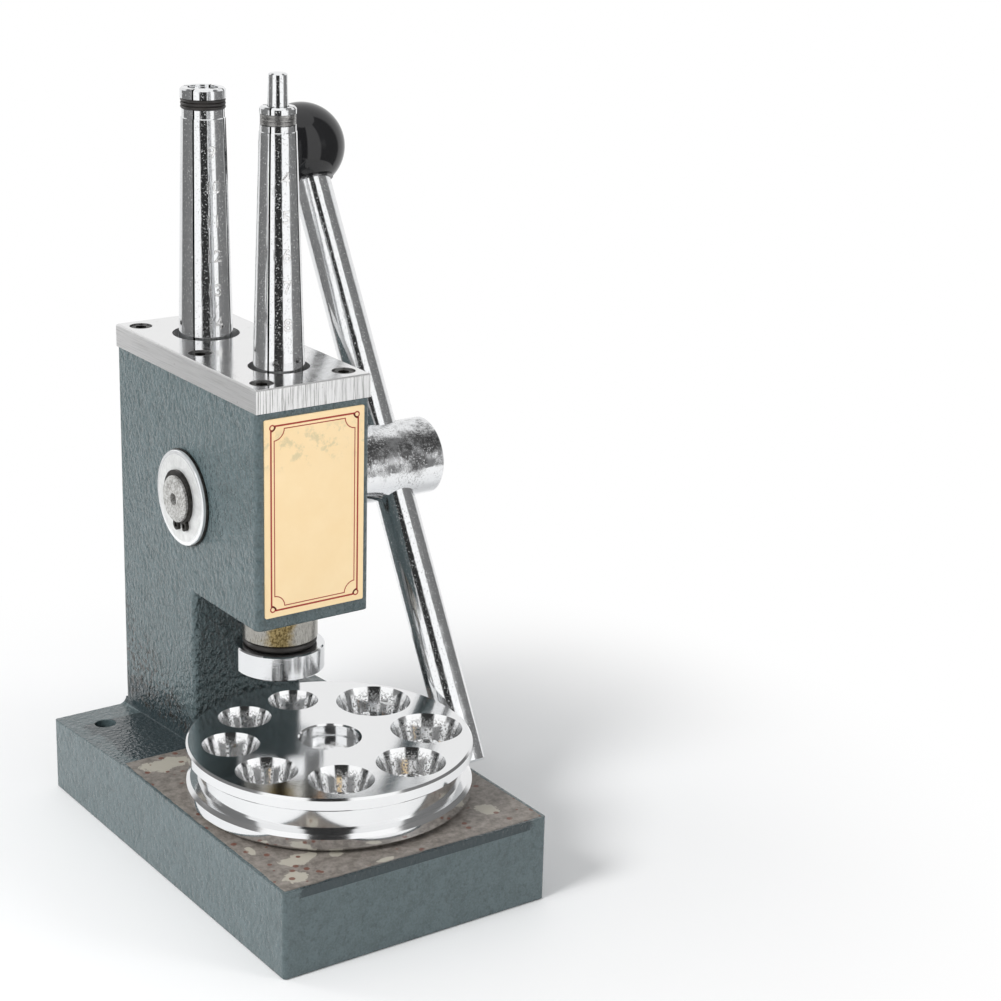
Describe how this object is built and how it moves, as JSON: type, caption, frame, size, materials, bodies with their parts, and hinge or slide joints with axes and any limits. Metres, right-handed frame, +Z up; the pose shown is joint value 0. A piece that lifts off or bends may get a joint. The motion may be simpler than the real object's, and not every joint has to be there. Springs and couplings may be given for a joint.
{
  "type": "bench ring stretcher",
  "caption": "Hand cranked bench tool that spreads rings on split tapered mandrels and reduces them in a turning plate of conical dies under a rack driven ram.",
  "frame": {"origin": "centre of the base's underside", "axes": "+Z up along the mandrels, +X towards the hand lever, +Y towards the rear"},
  "size_m": [0.1406, 0.2129, 0.2976],
  "materials": {
    "enamel": "hammered enamel over cast iron",
    "plate_steel": "ground",
    "polished_steel": "polished",
    "turned_steel": "turned and polished",
    "greasy_steel": "bare, oiled",
    "dark_steel": "blackened",
    "washer_steel": "matte",
    "inner_steel": "machined",
    "bronze": "machined",
    "ball_plastic": "glossy",
    "black_rubber": "matte",
    "gilt_plate": "thin printed metal"
  },
  "bodies": {
    "frame": {"frame_casting": "enamel", "top_plate": "plate_steel", "plate_screws": "dark_steel", "name_plate": "gilt_plate", "left_shaft_bush": "bronze", "right_shaft_bush": "bronze", "side_washer": "washer_steel", "side_shim": "dark_steel", "ram_guide_bush": "bronze", "front_guide_ring": "inner_steel", "rear_guide_ring": "inner_steel", "front_segment_band": "inner_steel", "rear_segment_band": "black_rubber", "centre_pin": "turned_steel"},
    "crank": {"crank_shaft": "turned_steel", "left_circlip": "dark_steel", "right_circlip": "dark_steel", "lever_bar": "polished_steel", "ball_knob": "ball_plastic", "lever_grub_screw": "dark_steel"},
    "ram": {"ram_stem": "greasy_steel", "ram_rack": "inner_steel", "ram_rack_screws": "dark_steel", "ram_cap": "polished_steel", "ram_o_ring": "black_rubber"},
    "yoke": {"spindle_yoke": "inner_steel", "yoke_rack": "inner_steel", "yoke_rack_screw": "dark_steel", "front_spindle": "polished_steel", "rear_spindle": "polished_steel", "spindle_grub_screws": "dark_steel"},
    "die": {"die_plate": "turned_steel"},
    "front_quarter_1": {"front_segment_1": "polished_steel"},
    "front_quarter_2": {"front_segment_2": "polished_steel"},
    "front_quarter_3": {"front_segment_3": "polished_steel"},
    "front_quarter_4": {"front_segment_4": "polished_steel"},
    "rear_quarter_1": {"rear_segment_1": "polished_steel"},
    "rear_quarter_2": {"rear_segment_2": "polished_steel"},
    "rear_quarter_3": {"rear_segment_3": "polished_steel"},
    "rear_quarter_4": {"rear_segment_4": "polished_steel"}
  },
  "joints": [
    {"name": "crank_turn", "type": "hinge", "parent": "frame", "child": "crank", "pos_m": [0, 0.0366, 0.1348], "axis": [1, 0, 0], "range_deg": [-18, 68]},
    {"name": "ram_slide", "type": "slide", "parent": "frame", "child": "ram", "axis": [0, 0, -1], "range_m": [-0.00401, 0.01513]},
    {"name": "yoke_slide", "type": "slide", "parent": "frame", "child": "yoke", "axis": [0, 0, 1], "range_m": [-0.00401, 0.01513]},
    {"name": "front_spread_1", "type": "slide", "parent": "frame", "child": "front_quarter_1", "axis": [0.9877, -0.1564, 0], "range_m": [-0.000126, 0.000469]},
    {"name": "front_spread_2", "type": "slide", "parent": "frame", "child": "front_quarter_2", "axis": [0.1564, 0.9877, 0], "range_m": [-0.000126, 0.000469]},
    {"name": "front_spread_3", "type": "slide", "parent": "frame", "child": "front_quarter_3", "axis": [-0.9877, 0.1564, 0], "range_m": [-0.000126, 0.000469]},
    {"name": "front_spread_4", "type": "slide", "parent": "frame", "child": "front_quarter_4", "axis": [-0.1564, -0.9877, 0], "range_m": [-0.000126, 0.000469]},
    {"name": "rear_spread_1", "type": "slide", "parent": "frame", "child": "rear_quarter_1", "axis": [0.9877, -0.1564, 0], "range_m": [-0.000126, 0.000469]},
    {"name": "rear_spread_2", "type": "slide", "parent": "frame", "child": "rear_quarter_2", "axis": [0.1564, 0.9877, 0], "range_m": [-0.000126, 0.000469]},
    {"name": "rear_spread_3", "type": "slide", "parent": "frame", "child": "rear_quarter_3", "axis": [-0.9877, 0.1564, 0], "range_m": [-0.000126, 0.000469]},
    {"name": "rear_spread_4", "type": "slide", "parent": "frame", "child": "rear_quarter_4", "axis": [-0.1564, -0.9877, 0], "range_m": [-0.000126, 0.000469]},
    {"name": "die_plate_turn", "type": "hinge", "parent": "frame", "child": "die", "pos_m": [0, -0.03022, 0.0347], "axis": [0, 0, 1], "continuous": true}
  ],
  "couplings": [
    {"joint": "ram_slide", "follows": "crank_turn", "m_per_rad": 0.01275},
    {"joint": "yoke_slide", "follows": "crank_turn", "m_per_rad": 0.01275},
    {"joint": "front_spread_1", "follows": "crank_turn", "m_per_rad": 0.0003935},
    {"joint": "front_spread_2", "follows": "crank_turn", "m_per_rad": 0.0003935},
    {"joint": "front_spread_3", "follows": "crank_turn", "m_per_rad": 0.0003935},
    {"joint": "front_spread_4", "follows": "crank_turn", "m_per_rad": 0.0003935},
    {"joint": "rear_spread_1", "follows": "crank_turn", "m_per_rad": 0.0003935},
    {"joint": "rear_spread_2", "follows": "crank_turn", "m_per_rad": 0.0003935},
    {"joint": "rear_spread_3", "follows": "crank_turn", "m_per_rad": 0.0003935},
    {"joint": "rear_spread_4", "follows": "crank_turn", "m_per_rad": 0.0003935}
  ]
}
